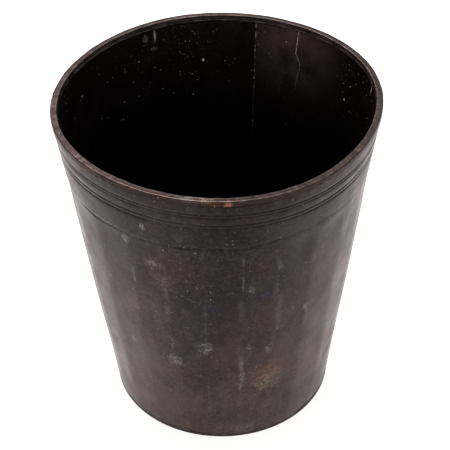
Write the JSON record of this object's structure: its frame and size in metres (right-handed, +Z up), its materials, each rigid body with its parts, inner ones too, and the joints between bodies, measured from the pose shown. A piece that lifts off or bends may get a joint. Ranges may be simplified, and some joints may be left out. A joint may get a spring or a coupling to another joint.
{
  "type": "beaker",
  "caption": "Tapered round copper beaker without a handle: a rolled and brazed sheet wall with turned lines, a square-section rim ring and a flat base disc.",
  "frame": {"origin": "centre of the underside of the base, on the plane that the beaker stands on", "axes": "+Z up along the beaker's axis; -Y is the front, where the rim's wire is joined; +X is to the right seen from the front"},
  "size_m": [0.09, 0.09, 0.099],
  "materials": {
    "copper": "dark oxidised copper, satin",
    "rim_copper": "dark oxidised copper, worn to pinkish copper on its edges",
    "spelter": "dull tarnished brazing alloy"
  },
  "bodies": {
    "root": {"body_wall": "copper", "wall_seam_braze": "spelter", "rim_ring": "rim_copper", "rim_joint_braze": "spelter", "rim_braze": "spelter", "base_disc": "copper", "base_braze": "spelter"}
  },
  "joints": []
}
